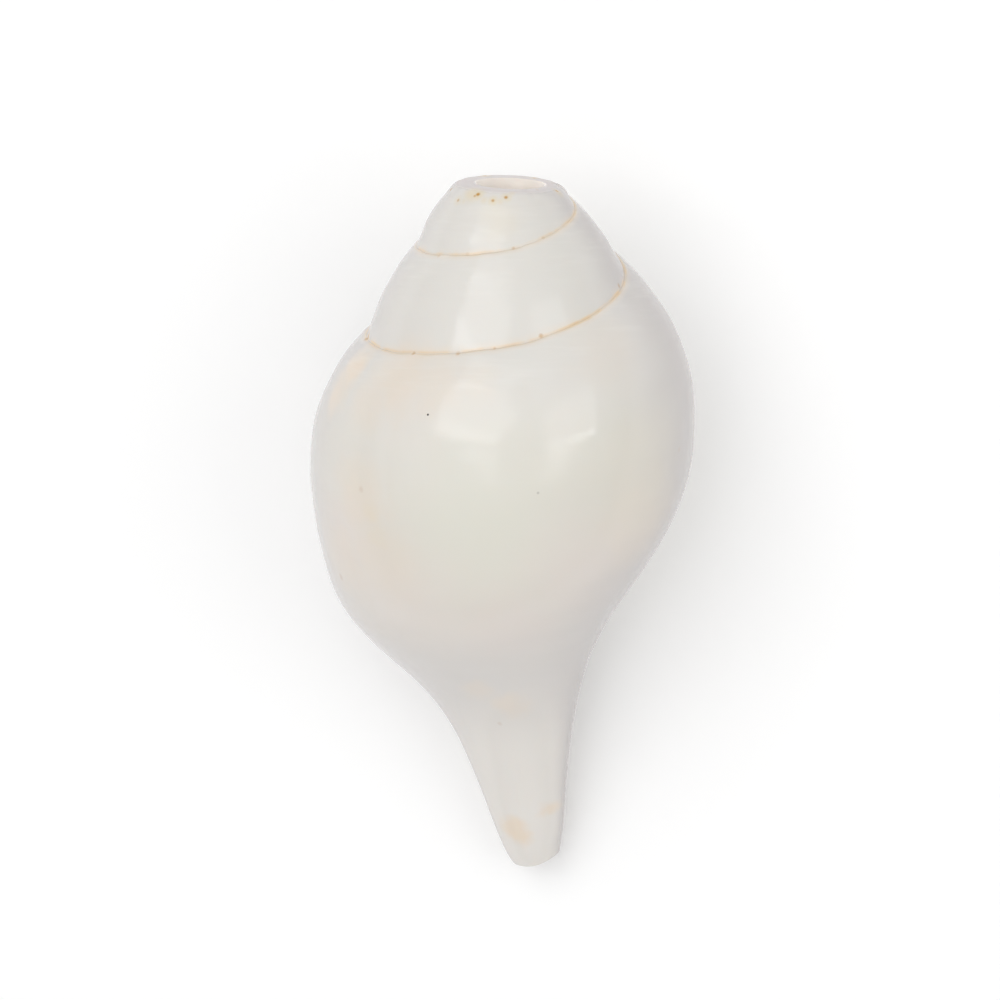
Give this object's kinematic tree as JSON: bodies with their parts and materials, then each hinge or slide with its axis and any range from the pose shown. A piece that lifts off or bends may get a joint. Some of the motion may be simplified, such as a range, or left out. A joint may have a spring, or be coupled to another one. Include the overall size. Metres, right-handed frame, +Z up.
{
  "type": "blowing conch shell",
  "caption": "Polished spiral sea shell lying on its mouth, with a long open canal and a sawn, pierced apex that is blown as a horn.",
  "frame": {"origin": "bottom centre of the shell's box, on the surface that it lies on", "axes": "+Z up; +Y along the shell from the canal tip to the sawn apex; +X to the right seen from above with the apex away"},
  "size_m": [0.09, 0.1628, 0.0813],
  "materials": {
    "shell": "polished off-white shell with a satin gloss, thin tan suture lines and small orange-brown specks"
  },
  "bodies": {
    "root": {"conch_shell": "shell"}
  },
  "joints": []
}
